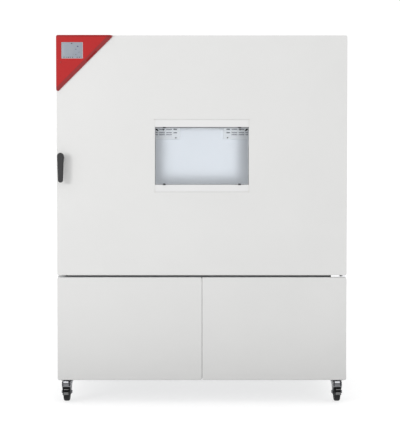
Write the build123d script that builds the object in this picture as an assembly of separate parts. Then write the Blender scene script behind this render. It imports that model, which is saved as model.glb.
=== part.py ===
from build123d import *
import math
import os

# Environmental test chamber: a climate cabinet on four casters.
# Frame: millimetres, +Z up, +X to the right seen from the front, front towards -Y,
# origin on the floor under the middle of the whole outline.

os.makedirs("parts", exist_ok=True)

# ---------------------------------------------------------------- driving sizes
XO = 790.0            # half the width over the covers
Y_FRONT = -545.0      # front plane of all three doors
Y_REAR = 575.0        # rear plane of the covers
Z_TOP = 2005.0        # top of door and top cover
SKIN = 1.5            # sheet thickness

DOOR_Z0 = 700.0       # bottom edge of the chamber door
PAN_BACK = -470.0     # back edge of the door pan
PLUG_BACK = -435.0    # inner face of the door plug
CAB_FRONT = -458.0    # sealing face of the cabinet
CAV_X = 600.0         # half the inner width
CAV_Z0, CAV_Z1 = 800.0, 1820.0
BAFFLE_Y = 165.0      # front of the air baffle: 600 mm usable depth
LINER_Y = 345.0       # rear sheet of the liner
BULK_Y = 455.0        # rear bulkhead
RING_T = 3.0          # thickness of the cabinet front frame

WIN_X = 255.5         # half the clear window width
WIN_Z0, WIN_Z1 = 1194.0, 1508.0
CUT_Z0, CUT_Z1 = 1154.8, 1548.2   # cut-out in the door skin, trims included

LOW_Z0, LOW_Z1 = 125.0, 688.0     # service doors
LOW_BACK = -520.0
BASE_FRONT = -504.0
BASE_Z0, BASE_Z1 = 128.0, 690.0

HINGE = (764.0, -520.0)           # chamber door axis
LOW_HINGE = (780.0, -522.0)       # service door axes, mirrored
HANDLE = (-765.0, 1342.0)         # handle axis, X and Z
PORT = (-120.0, 1310.0)           # access port, Y and Z
FAN_X, FAN_Z = 350.0, 1614.0      # circulation fan axes

WHEEL_R, WHEEL_W = 50.0, 32.0
SWIVELS = {"fl": (-745.0, -445.0), "fr": (745.0, -445.0), "rl": (-745.0, 490.0), "rr": (745.0, 490.0)}
TRAIL = -35.0         # axle offset from the swivel axis along Y


# ---------------------------------------------------------------- helpers
def bx(x0, x1, y0, y1, z0, z1):
    return Pos((x0 + x1) / 2, (y0 + y1) / 2, (z0 + z1) / 2) * Box(x1 - x0, y1 - y0, z1 - z0)


def cx(y, z, r, x0, x1):
    return Pos((x0 + x1) / 2, y, z) * Rot(0, 90, 0) * Cylinder(r, x1 - x0)


def cy(x, z, r, y0, y1):
    return Pos(x, (y0 + y1) / 2, z) * Rot(90, 0, 0) * Cylinder(r, y1 - y0)


def cz(x, y, r, z0, z1):
    return Pos(x, y, (z0 + z1) / 2) * Cylinder(r, z1 - z0)


def cone_z(x, y, r0, r1, z0, z1):
    return Pos(x, y, (z0 + z1) / 2) * Cone(r0, r1, z1 - z0)


def xz(sketch, y0, y1):
    """A sketch drawn in X and Z, extruded from y0 to y1."""
    return Pos(0, y1, 0) * Rot(90, 0, 0) * extrude(sketch, amount=y1 - y0)


def yz(sketch, x0, x1):
    """A sketch drawn in Y and Z, extruded from x0 to x1."""
    return Pos(x0, 0, 0) * extrude(Plane.YZ * sketch, amount=x1 - x0)


def rrect(x0, x1, z0, z1, r):
    return Pos((x0 + x1) / 2, (z0 + z1) / 2) * RectangleRounded(x1 - x0, z1 - z0, r)


def rect(x0, x1, z0, z1):
    return Pos((x0 + x1) / 2, (z0 + z1) / 2) * Rectangle(x1 - x0, z1 - z0)


def poly(*pts):
    return make_face(Polyline(*pts, close=True))


def hexa(af, r_axis="X"):
    return RegularPolygon(af / 2, 6, major_radius=False)


def flat(*shapes):
    out = []
    for s in shapes:
        if isinstance(s, (list, tuple)):
            out += flat(*s)
        else:
            out += list(s.solids())
    return out


def save(name, *shapes):
    solids = flat(*shapes)
    shape = solids[0] if len(solids) == 1 else Compound(solids)
    export_step(shape, f"parts/{name}.step")
    return shape


def mirrored(shape):
    return mirror(shape, about=Plane.YZ)


def tube_x(x0, x1, y0, y1, z0, z1, t=3.0):
    return bx(x0, x1, y0, y1, z0, z1) - bx(x0 - 1, x1 + 1, y0 + t, y1 - t, z0 + t, z1 - t)


def tube_y(x0, x1, y0, y1, z0, z1, t=3.0):
    return bx(x0, x1, y0, y1, z0, z1) - bx(x0 + t, x1 - t, y0 - 1, y1 + 1, z0 + t, z1 - t)


def tube_z(x0, x1, y0, y1, z0, z1, t=3.0):
    return bx(x0, x1, y0, y1, z0, z1) - bx(x0 + t, x1 - t, y0 + t, y1 - t, z0 - 1, z1 + 1)


XI = XO - SKIN        # inside of the side panels

# ---------------------------------------------------------------- base frame
T = 40.0
frame_bars = [
    tube_y(-XI, -XI + T, BASE_FRONT, 570, BASE_Z0, BASE_Z0 + T),
    tube_y(XI - T, XI, BASE_FRONT, 570, BASE_Z0, BASE_Z0 + T),
    tube_x(-XI + T, XI - T, BASE_FRONT, BASE_FRONT + T, BASE_Z0, BASE_Z0 + T),
    tube_x(-XI + T, XI - T, 13, 53, BASE_Z0, BASE_Z0 + T),
    tube_x(-XI + T, XI - T, 530, 570, BASE_Z0, BASE_Z0 + T),
    tube_y(-XI, -XI + T, BASE_FRONT, 570, 648, 688),
    tube_y(XI - T, XI, BASE_FRONT, 570, 648, 688),
    tube_x(-XI + T, XI - T, -404, -364, 648, 688),
    tube_x(-XI + T, XI - T, 530, 570, 648, 688),
]
for px0, px1 in ((-XI, -XI + T), (XI - T, XI)):
    for py0 in (BASE_FRONT, 530.0):
        frame_bars.append(tube_z(px0, px1, py0, py0 + T, BASE_Z0 + T, 648))
frame_bars.append(tube_z(-20, 20, BASE_FRONT, BASE_FRONT + T, BASE_Z0 + T, 647))       # post behind the seam
frame_bars.append(bx(-XI, XI, BASE_FRONT, 570, 688, BASE_Z1))                           # deck plate
frame_bars.append(bx(-XI + T, XI - T, BASE_FRONT + T, 530, 168, 170))                   # tray
for sx in (-1, 1):
    for y0, y1 in ((BASE_FRONT + T, -384.0), (430.0, 530.0)):
        a, b = sorted((sx * 688.0, sx * (XI - T)))
        frame_bars.append(bx(a, b, y0, y1, BASE_Z0, BASE_Z0 + 8))                       # caster pads
save("base_frame", frame_bars)

# ---------------------------------------------------------------- side panels
panel_outline = poly(
    (BASE_FRONT, BASE_Z0), (Y_REAR, BASE_Z0), (Y_REAR, Z_TOP - SKIN),
    (CAB_FRONT, Z_TOP - SKIN), (CAB_FRONT, BASE_Z1), (BASE_FRONT, BASE_Z1),
)
louvres = Sketch() + [
    Pos(y, z) * RectangleRounded(150, 7, 3.4)
    for y in (110.0, 290.0, 470.0)
    for z in [210.0 + 22 * i for i in range(16)]
]
side = yz(panel_outline, -XO, -XI)
side_l = side - yz(louvres, -XO - 1, -XI + 1) - cx(PORT[0], PORT[1], 43, -XO - 1, -XI + 1)
save("side_panel_left", side_l)
side_r = mirrored(side - yz(louvres, -XO - 1, -XI + 1))
side_r = side_r - cx(-380, 600, 5.65, XI - 1, XO + 1)
save("side_panel_right", side_r)

# ---------------------------------------------------------------- top and rear covers
top = bx(-XO, XO, CAB_FRONT, Y_REAR, Z_TOP - SKIN, Z_TOP)
save("top_cover", top)

bulk = bx(-XI, XI, BULK_Y, BULK_Y + SKIN, BASE_Z1, Z_TOP - SKIN)
for s in (-1, 1):
    bulk = bulk - cy(s * FAN_X, FAN_Z, 15, BULK_Y - 1, BULK_Y + SKIN + 1)
save("rear_bulkhead", bulk)

vents = Sketch() + [
    Pos(x, z) * RectangleRounded(170, 8, 3.9)
    for x in (-450.0, -250.0, 250.0, 450.0)
    for z in [1480.0 + 24 * i for i in range(12)]
]
upper = bx(-XI, XI, Y_REAR - SKIN, Y_REAR, BASE_Z1 + 1, Z_TOP - SKIN) - xz(vents, Y_REAR - 3, Y_REAR + 1)
vents = Sketch() + [
    Pos(x, z) * RectangleRounded(180, 9, 4.4)
    for x in (-300.0, -100.0, 100.0, 300.0)
    for z in [215.0 + 22 * i for i in range(19)]
]
grille = bx(-XI, XI, Y_REAR - SKIN, Y_REAR, BASE_Z0, BASE_Z1) - xz(vents, Y_REAR - 3, Y_REAR + 1)
UTIL_Z = 245.0
for ux in (-640.0, -560.0, 620.0):
    grille = grille - cy(ux, UTIL_Z, 11, Y_REAR - 3, Y_REAR + 1)
save("rear_covers", upper, grille)

# ---------------------------------------------------------------- chamber body
front_ring = xz(rect(-XI, XI, BASE_Z1 + 4, Z_TOP - SKIN), CAB_FRONT, CAB_FRONT + RING_T)
front_ring = front_ring - xz(rrect(-CAV_X, CAV_X, CAV_Z0, CAV_Z1, 4), CAB_FRONT - 1, CAB_FRONT + 11)
save("front_frame", front_ring)

LX, LZ0, LZ1 = CAV_X + SKIN, CAV_Z0 - SKIN, CAV_Z1 + SKIN
y0 = CAB_FRONT + RING_T
foam = bx(-XI, XI, y0, BULK_Y, BASE_Z1, Z_TOP - SKIN)
foam = foam - bx(-LX, LX, y0 - 1, LINER_Y + SKIN, LZ0, LZ1)
foam = foam - cx(PORT[0], PORT[1], 43, -XI - 1, -LX + 1)
for s in (-1, 1):
    foam = foam - cy(s * FAN_X, FAN_Z, 15, LINER_Y, BULK_Y + 1)
save("insulation", foam)

liner_left = bx(-LX, -CAV_X, y0, LINER_Y, LZ0, LZ1) - cx(PORT[0], PORT[1], 43, -LX - 1, -CAV_X + 1)
liner_right = bx(CAV_X, LX, y0, LINER_Y, LZ0, LZ1)
liner_floor = bx(-CAV_X, CAV_X, y0, LINER_Y, LZ0, CAV_Z0) - cz(0, -60, 9, LZ0 - 1, CAV_Z0 + 1)
liner_roof = bx(-CAV_X, CAV_X, y0, LINER_Y, CAV_Z1, LZ1)
liner_rear = bx(-LX, LX, LINER_Y, LINER_Y + SKIN, LZ0, LZ1)
for s in (-1, 1):
    liner_rear = liner_rear - cy(s * FAN_X, FAN_Z, 8, LINER_Y - 1, LINER_Y + SKIN + 1)
save("chamber_liner", liner_left, liner_right, liner_floor, liner_roof, liner_rear)

# air baffle: the bright wall seen through the window, with folded side returns
BX = 560.0
wall = bx(-BX, BX, BAFFLE_Y, BAFFLE_Y + SKIN, 815, 1805)
for s in (-1, 1):
    wall = wall - cy(s * FAN_X, FAN_Z, 125, BAFFLE_Y - 1, BAFFLE_Y + SKIN + 1)
wall = wall - cy(-8, 1388, 4, BAFFLE_Y - 1, BAFFLE_Y + SKIN + 1)
side_slots = Sketch() + [Pos(y, z) * Rectangle(60, 14) for y in (220.0, 295.0) for z in [870.0 + 60 * i for i in range(15)]]
ret = bx(-BX, -BX + SKIN, BAFFLE_Y + SKIN, LINER_Y, 815, 1805) - yz(side_slots, -BX - 1, -BX + SKIN + 1)
save("air_baffle", wall, ret, mirrored(ret))

# slotted covers over the circulation fans
CV_X0, CV_X1, CV_Z0, CV_Z1, CV_Y = 131.0, 571.0, 1464.0, 1764.0, 153.0
cover = xz(rrect(CV_X0, CV_X1, CV_Z0, CV_Z1, 12), CV_Y, BAFFLE_Y)
cover = cover - xz(rrect(CV_X0 + SKIN, CV_X1 - SKIN, CV_Z0 + SKIN, CV_Z1 - SKIN, 10.5), CV_Y + SKIN, BAFFLE_Y + 1)
rows = [1491.0, 1503.0] + [1523.0 + 16 * i for i in range(14)]
slots = [Pos(197.5 + 42 * i, z) * Rectangle(35, 5) for i in range(9) for z in rows]
slots += [Pos(159.5, z) * Rectangle(21, 7) for z in rows[1:]]
cover = cover - xz(Sketch() + slots, CV_Y - 1, CV_Y + SKIN + 1)
for hx, hz in ((156, 1472.8), (558, 1472.8), (156, 1755), (558, 1755)):
    cover = cover - cy(hx, hz, 4.2, CV_Y - 1, CV_Y + SKIN + 1)
save("fan_covers", cover, mirrored(cover))

# shelf rails and wire shelf
rails = []
for s in (-1, 1):
    for y in (-330.0, 70.0):
        a, b = sorted((s * CAV_X, s * (CAV_X - 14)))
        rail = bx(a, b, y - 12, y + 12, 830, 1790)
        a, b = sorted((s * (CAV_X - 2), s * (CAV_X - 15)))
        rail = rail - (Part() + [bx(a, b, y - 5, y + 5, z, z + 12) for z in range(860, 1780, 70)])
        rails.append(rail)
save("shelf_rails", rails)
SHELF_Z = 985.0
bars = [
    bx(-586, 586, -409, -401, SHELF_Z - 4, SHELF_Z + 4), bx(-586, 586, 111, 119, SHELF_Z - 4, SHELF_Z + 4),
    bx(-586, 586, -149, -141, SHELF_Z - 4, SHELF_Z + 4),
    bx(-586, -578, -405, 115, SHELF_Z - 4, SHELF_Z + 4), bx(578, 586, -405, 115, SHELF_Z - 4, SHELF_Z + 4),
]
bars += [bx(-542 + 40 * i, -538 + 40 * i, -407, 117, SHELF_Z + 3, SHELF_Z + 7) for i in range(28)]
shelf = bars[0]
for w in bars[1:]:
    shelf = shelf + w
save("wire_shelf", shelf)

# temperature probe on the baffle, with its lamp bar above the door opening
probe = cy(-8, 1388, 3.9, BAFFLE_Y - 22, BAFFLE_Y + 30) + cy(-8, 1388, 8, BAFFLE_Y + SKIN, BAFFLE_Y + 8)
lamp = bx(-260, 260, -420, -392, CAV_Z1 - 16, CAV_Z1)
save("probe_and_lamp", probe, lamp)

# access port: tube through the left wall and its plug
tube = cx(PORT[0], PORT[1], 43, -XO, -CAV_X) + cx(PORT[0], PORT[1], 54, -XO - 4, -XO)
tube = tube - cx(PORT[0], PORT[1], 40, -XO - 5, -CAV_X + 1)
save("access_port_tube", tube)
plug = Pos(-XO - 4 + 50, PORT[0], PORT[1]) * Rot(0, 90, 0) * Cone(39.6, 37.5, 100)
head = Pos(-XO - 4 - 4.2, PORT[0], PORT[1]) * Rot(0, 90, 0) * Cylinder(50, 7.6)
head = fillet(head.edges().filter_by(GeomType.CIRCLE).sort_by(Axis.X)[0:1], 3)
grip = cx(PORT[0], PORT[1], 39.6, -XO - 4.5, -XO - 3.9)
save("port_plug", head + grip + plug)

# ---------------------------------------------------------------- air side: fans, motors, coils
def impeller(x, z):
    hub = cy(x, z, 32, 206, 262)
    out = hub
    blade = Pos(0, 0, 70) * Rot(0, 0, 38) * Box(46, 3, 92)
    for k in range(7):
        b = Pos(x, 234, z) * Rot(0, 360 / 7 * k, 0) * blade
        out = out + (b & cy(x, z, 116, 190, 280))
    out = out + cy(x, z, 6, 262, BULK_Y + 20)
    return out


save("circulation_fan_left", impeller(-FAN_X, FAN_Z))
save("circulation_fan_right", impeller(FAN_X, FAN_Z))

motors = []
for s in (-1, 1):
    m = cy(s * FAN_X, FAN_Z, 68, BULK_Y + SKIN + 6, BULK_Y + SKIN + 95)
    m = fillet(m.edges().filter_by(GeomType.CIRCLE).sort_by(Axis.Y)[-1:], 8)
    m = m + xz(rrect(s * FAN_X - 85, s * FAN_X + 85, FAN_Z - 85, FAN_Z + 85, 12), BULK_Y + SKIN, BULK_Y + SKIN + 6)
    m = m + bx(s * FAN_X - 28, s * FAN_X + 28, BULK_Y + 25, BULK_Y + 80, FAN_Z + 60, FAN_Z + 88)
    m = m - cy(s * FAN_X, FAN_Z, 6.06, BULK_Y, BULK_Y + 28)
    motors.append(m)
m = cy(0, 400, 45, 318, 398) + bx(-16, 16, 335, 385, 170, 360) + bx(-45, 45, 325, 395, 170, 174)
m = fillet(m.edges().filter_by(GeomType.CIRCLE).group_by(Axis.Y)[0], 6) - cy(0, 400, 5.06, 370, 400)
motors.append(m)
save("fan_motors", motors)

coils = []
for s in (-1, 1):
    for y, r in ((290.0, 120.0), (310.0, 135.0)):
        coils.append(Pos(s * FAN_X, y, FAN_Z) * Rot(90, 0, 0) * Torus(r, 4.2))
    for y, r in ((290.0, 120.0), (310.0, 135.0)):
        for a in (90, 210, 330):
            ca, sa = math.cos(math.radians(a)), math.sin(math.radians(a))
            coils.append(cy(s * FAN_X + r * ca, FAN_Z + r * sa, 3, y + 4.2, LINER_Y))
save("heater_coils", coils)

ev = bx(-470, 470, 205, 325, 868, 871) + bx(-470, 470, 205, 325, 1277, 1280)
for i in range(22):
    x = -460 + i * (920 / 21)
    ev = ev + bx(x - 0.8, x + 0.8, 205, 325, 870.5, 1277.5)
for z in [905.0 + 55 * i for i in range(7)]:
    ev = ev + cx(265, z, 8, -490, 490)
for x in (-440.0, 0.0, 440.0):
    ev = ev + bx(x - 12, x + 12, 215, 315, CAV_Z0, 868.5)
save("evaporator", ev)

# ---------------------------------------------------------------- machine room
cd = bx(-390, 390, 478, 558, 178, 182) + bx(-390, 390, 478, 558, 618, 622)
cd = cd + bx(-390, -387, 478, 558, 181, 619) + bx(387, 390, 478, 558, 181, 619)
for i in range(24):
    x = -375 + i * (750 / 23)
    cd = cd + bx(x - 0.8, x + 0.8, 482, 554, 181.5, 618.5)
for z in [215.0 + 60 * i for i in range(7)]:
    cd = cd + cx(518, z, 7, -405, 405)
cd = cd + bx(-390, 390, 478, 482, 178, 240) + bx(-390, 390, 478, 482, 560, 622)
cd = cd + bx(-390, 390, 478, 558, 170, 178.5)
save("condenser", cd)


def condenser_fan():
    out = cy(0, 400, 42, 405, 452) + cy(0, 400, 5, 378, 406)
    blade = Pos(0, 0, 95) * Rot(0, 0, 32) * Box(60, 2.5, 125)
    for k in range(5):
        b = Pos(0, 436, 400) * Rot(0, 72 * k, 0) * blade
        out = out + (b & cy(0, 400, 150, 400, 470))
    return out


save("condenser_fan", condenser_fan())

comps = []
for s in (-1, 1):
    x, y = s * 190.0, 120.0
    c = cz(x, y, 92, 195, 420)
    c = fillet(c.edges().filter_by(GeomType.CIRCLE), 34)
    c = c + cz(x, y, 96, 290, 300)
    c = c + bx(x - 110, x + 110, y - 80, y - 60, 188, 200) + bx(x - 110, x + 110, y + 60, y + 80, 188, 200)
    for dx in (-95, 95):
        for dy in (-70, 70):
            c = c + cz(x + dx, y + dy, 12, 170, 188.5)
    c = c + bx(x - 30, x + 30, y - 108, y - 85, 320, 375)
    c = c + cz(x + 60, y, 7, 380, 470) + cx(y, 470, 7, x + 60 - 7, x + 60 + 60)
    comps.append(c)
save("compressors", comps)

box = bx(440, 735, -440, -170, 172, 630) - bx(443, 732, -437, -173, 175, 627)
box = box - bx(470, 705, -441, -436, 200, 602)
lid = bx(455, 720, -444, -440, 186, 616)
lid = lid + cy(470, 400, 9, -448, -444)
bar = bx(480, 700, -190, -173, 330, 365) + bx(490, 540, -260, -190, 300, 395) + bx(545, 640, -260, -190, 300, 395)
save("electrical_box", box, lid, bar)


def can(x0, x1):
    c = bx(x0, x1, -440, -120, 170, 440)
    c = fillet(c.edges(), 14)
    c = c + cz((x0 + x1) / 2, -395, 24, 439, 462)
    grip_ = bx((x0 + x1) / 2 - 12, (x0 + x1) / 2 + 12, -330, -170, 439, 486)
    grip_ = grip_ - bx((x0 + x1) / 2 - 13, (x0 + x1) / 2 + 13, -308, -192, 438, 470)
    return c + fillet(grip_.edges().filter_by(Axis.X).sort_by(Axis.Z)[-2:], 14)


save("water_cans", can(-725, -545), can(-525, -345))

# ---------------------------------------------------------------- utilities on the rear
util = []
for ux in (-640.0, -560.0):
    u = cy(ux, UTIL_Z, 10.8, Y_REAR - 22, Y_REAR)
    u = u + cy(ux, UTIL_Z, 16, Y_REAR, Y_REAR + 5) + cy(ux, UTIL_Z, 13.2 if ux < -600 else 7.0, Y_REAR + 5, Y_REAR + 24)
    u = u - cy(ux, UTIL_Z, 8.5 if ux < -600 else 5.0, Y_REAR - 23, Y_REAR + 25)
    util.append(u)
gl = cy(620, UTIL_Z, 10.8, Y_REAR - 22, Y_REAR) + xz(Pos(620, UTIL_Z) * hexa(30), Y_REAR, Y_REAR + 9)
gl = gl + Pos(620, Y_REAR + 16, UTIL_Z) * Rot(-90, 0, 0) * Cone(13, 9, 14)
gl = gl - cy(620, UTIL_Z, 6, Y_REAR - 23, Y_REAR + 25)
util.append(gl)
save("utility_connections", util)

# ---------------------------------------------------------------- cover screws
heads = []
for s in (-1, 1):
    a, b = sorted((s * XO, s * (XO + 2.6)))
    for y, z in ((-440, 740), (-440, 1345), (-440, 1960), (545, 740), (545, 1345), (545, 1960), (-470, 160), (-470, 655), (545, 160), (545, 655)):
        h = cx(y, z, 6.5, a, b)
        edge = h.edges().filter_by(GeomType.CIRCLE).sort_by(Axis.X)[0 if s < 0 else -1]
        heads.append(fillet([edge], 1.8))
for x in (-760.0, -380.0, 0.0, 380.0, 760.0):
    for z in (150.0, 668.0, 720.0, 1975.0):
        h = cy(x, z, 6.5, Y_REAR, Y_REAR + 2.6)
        heads.append(fillet(h.edges().filter_by(GeomType.CIRCLE).sort_by(Axis.Y)[-1:], 1.8))
save("cover_screws", heads)

# ---------------------------------------------------------------- main switch knob, right side
knob = cx(-380, 600, 20, XO + 0.4, XO + 7) + bx(XO + 6.9, XO + 13, -386, -374, 582, 618)
knob = knob + cx(-380, 600, 5.6, XI - 20, XO + 0.5)
save("main_switch_knob", knob)

# ---------------------------------------------------------------- chamber door
X0, X1 = -XO, XO
pan = xz(rrect(X0, X1, DOOR_Z0, Z_TOP, 10), Y_FRONT, PAN_BACK)
pan = fillet(pan.edges().group_by(Axis.Y)[0], 3.0)
pan = pan - xz(rrect(X0 + SKIN, X1 - SKIN, DOOR_Z0 + SKIN, Z_TOP - SKIN, 8.5), Y_FRONT + SKIN, PAN_BACK + 1)
pan = pan - xz(rect(-WIN_X, WIN_X, CUT_Z0, CUT_Z1), Y_FRONT - 1, Y_FRONT + 3)
for s in (-1, 1):
    for z in (CUT_Z0, CUT_Z1):
        pan = pan - cy(s * WIN_X, z, 2.2, Y_FRONT - 1, Y_FRONT + 3)
pan = pan - cy(HANDLE[0], HANDLE[1], 8, Y_FRONT - 1, Y_FRONT + 3)
pocket = bx(750, 791, -541, -469, 1980, 1998)
pan = pan - pocket - cz(HINGE[0], HINGE[1], 9.5, DOOR_Z0 - 1, DOOR_Z0 + 3)
block_top = bx(744, 784, -540, -500, 1955, 1980) - cz(HINGE[0], HINGE[1], 5, 1954, 1981)
block_low = bx(744, 784, -540, -500, DOOR_Z0 + SKIN, 730) - cz(HINGE[0], HINGE[1], 8, 700, 731)
save("door_shell", pan, block_top, block_low)

pin_top = cz(HINGE[0], HINGE[1], 5, 1955, 1997)
pin_low = cz(HINGE[0], HINGE[1], 8, DOOR_Z0, 730) + cone_z(HINGE[0], HINGE[1], 5.6, 9, 693.0, DOOR_Z0) + cz(HINGE[0], HINGE[1], 4.94, 690.0, 694)
save("door_hinge_pins", pin_top, pin_low)

PX, PZ0, PZ1 = 590.0, 810.0, 1810.0
lin = xz(rect(-XI, XI, DOOR_Z0 + SKIN, Z_TOP - SKIN), PAN_BACK - SKIN, PAN_BACK)
lin = lin & xz(rrect(-XI, XI, DOOR_Z0 + SKIN, Z_TOP - SKIN, 8.5), PAN_BACK - SKIN, PAN_BACK)
lin = lin + xz(rrect(-PX, PX, PZ0, PZ1, 22), PAN_BACK, PLUG_BACK)
lin = lin - xz(rrect(-PX + SKIN, PX - SKIN, PZ0 + SKIN, PZ1 - SKIN, 20.5), PAN_BACK - SKIN - 1, PLUG_BACK - SKIN)
lin = lin - xz(rect(-WIN_X - 3, WIN_X + 3, WIN_Z0 - 3, WIN_Z1 + 3), PLUG_BACK - 3, PLUG_BACK + 1)
lin = lin - pocket - cy(HANDLE[0], HANDLE[1], 8, PAN_BACK - 3, PAN_BACK + 1)
save("door_liner", lin)

fo = xz(rrect(-XI, XI, DOOR_Z0 + SKIN, Z_TOP - SKIN, 8.5), Y_FRONT + SKIN, PAN_BACK - SKIN)
fo = fo + xz(rrect(-PX + SKIN, PX - SKIN, PZ0 + SKIN, PZ1 - SKIN, 20.5), PAN_BACK - SKIN, PLUG_BACK - SKIN)
fo = fo - bx(-WIN_X - 3, WIN_X + 3, Y_FRONT, PLUG_BACK + 1, WIN_Z0 - 3, WIN_Z1 + 3)
fo = fo - bx(-266, 266, Y_FRONT, -530, 1148, 1555)
fo = fo - pocket - bx(744, 784, -540, -500, 1955, 1998) - bx(744, 784, -540, -500, 701, 730)
fo = fo - cy(HANDLE[0], HANDLE[1], 8, Y_FRONT, PAN_BACK)
save("door_insulation", fo)

gk = xz(rrect(-640, 640, 760, 1860, 30), PAN_BACK, CAB_FRONT - 0.5)
gk = gk - xz(rrect(-612, 612, 788, 1832, 14), PAN_BACK - 1, CAB_FRONT)
gk = fillet(gk.edges().group_by(Axis.Y)[-1], 4)
save("door_gasket", gk)

# window: one large outer pane, three panes in the tunnel
panes = [bx(-262, 262, -537, -531, 1187, 1515)]
for y in (-500.0, -468.0, -441.0):
    panes.append(bx(-WIN_X + 0.3, WIN_X - 0.3, y, y + 4, WIN_Z0 + 0.3, WIN_Z1 - 0.3))
save("window_panes", panes)
tun = bx(-WIN_X - 3, WIN_X + 3, -530, PLUG_BACK, WIN_Z0 - 3, WIN_Z1 + 3) - bx(-WIN_X, WIN_X, -531, PLUG_BACK + 1, WIN_Z0, WIN_Z1)
save("window_frame", tun)
trims = []
for z0, z1, zf in ((WIN_Z1, CUT_Z1 - 0.8, 1), (CUT_Z0 + 0.8, WIN_Z0, -1)):
    t = bx(-WIN_X + 0.8, WIN_X - 0.8, Y_FRONT, Y_FRONT + SKIN, z0, z1)
    f0, f1 = (z1 - SKIN, z1) if zf > 0 else (z0, z0 + SKIN)
    t = t + bx(-WIN_X + 0.8, WIN_X - 0.8, Y_FRONT + SKIN, -532, f0, f1)
    trims.append(t)
save("window_trims", trims)
seal = bx(-262, 262, Y_FRONT + SKIN, -537, 1187, 1515) - bx(-253, 253, Y_FRONT, -536, 1197, 1502)
bumps = []
for s in (-205.0, 205.0):
    for z0, z1 in ((1501.0, 1508.0), (1194.0, 1200.5)):
        b = bx(s - 7.5, s + 7.5, Y_FRONT - 2.5, Y_FRONT + SKIN, z0, z1)
        bumps.append(fillet(b.edges().filter_by(Axis.Y), 2.2))
save("window_seals", seal, bumps)

# triangular control fascia on the upper left corner
LEG = 313.0
FY = Y_FRONT - 14
tri = poly((-XO, Z_TOP), (-XO + LEG, Z_TOP), (-XO, Z_TOP - LEG))
fas = xz(tri, FY, Y_FRONT)
v = fas.edges().filter_by(Axis.Y)
corner = [e for e in v if abs(e.center().X + XO) < 1 and abs(e.center().Z - Z_TOP) < 1]
tips = [e for e in v if e not in corner]
fas = fillet(tips, 8)
corner = [e for e in fas.edges().filter_by(Axis.Y) if abs(e.center().X + XO) < 1 and abs(e.center().Z - Z_TOP) < 1]
fas = fillet(corner, 10)
d = 1 / math.sqrt(2)
hx, hz = -XO + LEG / 2, Z_TOP - LEG / 2                     # middle of the sloping edge
n_in = Vector(-d, 0, d)                                      # from that edge into the fascia
run = 20.0
p0 = Vector(hx, FY, hz) + n_in * run
p1 = Vector(hx, Y_FRONT - 4, hz)
along = Vector(d, 0, d)
nrm = (p0 - p1).cross(along).normalized()
if nrm.Y > 0:
    nrm = -nrm
bevel = Plane(origin=p0, x_dir=along, z_dir=nrm)
fas = fas - (bevel * (Pos(0, 0, 20) * Box(900, 200, 40)))
front_edges = [e for e in fas.edges() if abs(e.center().Y - FY) < 0.2 and (abs(e.center().Z - Z_TOP) < 0.2 or abs(e.center().X + XO) < 0.2)]
DX0, DX1, DZ0, DZ1 = -761.5, -644.5, 1878.0, 1966.0
fas = fas - xz(rrect(DX0, DX1, DZ0, DZ1, 2), FY - 1, Y_FRONT + 1)
fas = fas - cy(-765, 1857, 5.5, FY - 1, FY + 1.5)
# shallow recess for the status lens on the bevel
lens_c = Vector(hx, 0, hz) + along * 55.0 + n_in * 7.0
lx, ly = 74.0, 8.0
rec = Plane(origin=Vector(lens_c.X, p1.Y - (p0.Y - p1.Y) * 0, lens_c.Z), x_dir=along, z_dir=nrm)
t_ = 7.0 / run
on_bevel = p1 + (p0 - p1) * t_ + along * 55.0
rec = Plane(origin=on_bevel, x_dir=along, z_dir=nrm)
fas = fas - (rec * Box(lx, ly, 3.0))
save("control_fascia", fas)
save("status_lens", rec * (Pos(0, 0, -0.6) * Box(lx - 0.2, ly - 0.2, 1.6)))
disp = xz(rrect(DX0 + 0.2, DX1 - 0.2, DZ0 + 0.2, DZ1 - 0.2, 1.8), FY + 1.2, Y_FRONT)
save("touch_display", disp)

# handle
hb = cy(HANDLE[0], HANDLE[1], 16, Y_FRONT - 15, Y_FRONT) - cy(HANDLE[0], HANDLE[1], 6.06, Y_FRONT - 16, Y_FRONT + 1)
hb = fillet(hb.edges().filter_by(GeomType.CIRCLE).group_by(Axis.Y)[0].sort_by(SortBy.RADIUS)[-1:], 2)
save("handle_base", hb)

lever_pts = ((-18, 7), (18, 7), (13.5, -122.5), (-13.5, -122.5))
hx0, hz0 = HANDLE
prof = poly(*[(hx0 + a, hz0 + b) for a, b in lever_pts]) + Pos(hx0, hz0 + 7) * Circle(18) + Pos(hx0, hz0 - 122.5) * Circle(13.5)
LEV0, LEV1 = Y_FRONT - 54, Y_FRONT - 34
lever = xz(prof, LEV0, LEV1)
lever = chamfer(lever.edges().group_by(Axis.Y)[0], 5)
lever = lever + cy(hx0, hz0, 15, LEV1, Y_FRONT - 15.4)
lever = lever - cy(hx0, hz0, 6, LEV1 - 8, Y_FRONT)
save("handle_lever", lever)

spin = cy(hx0, hz0, 6, LEV1 - 8, -463)
spin = spin + bx(hx0 - 8, hx0 + 8, -469, -463, hz0 - 42, hz0 + 8)
save("latch_spindle", spin)

keep = bx(hx0 - 18, hx0 + 18, CAB_FRONT - 4, CAB_FRONT, hz0 - 62, hz0 - 16)
keep = fillet(keep.edges().filter_by(Axis.Y), 3)
keep = keep - cy(hx0, hz0 - 30, 3, CAB_FRONT - 5, CAB_FRONT + 1) - cy(hx0, hz0 - 50, 3, CAB_FRONT - 5, CAB_FRONT + 1)
save("latch_keeper", keep)

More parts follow.
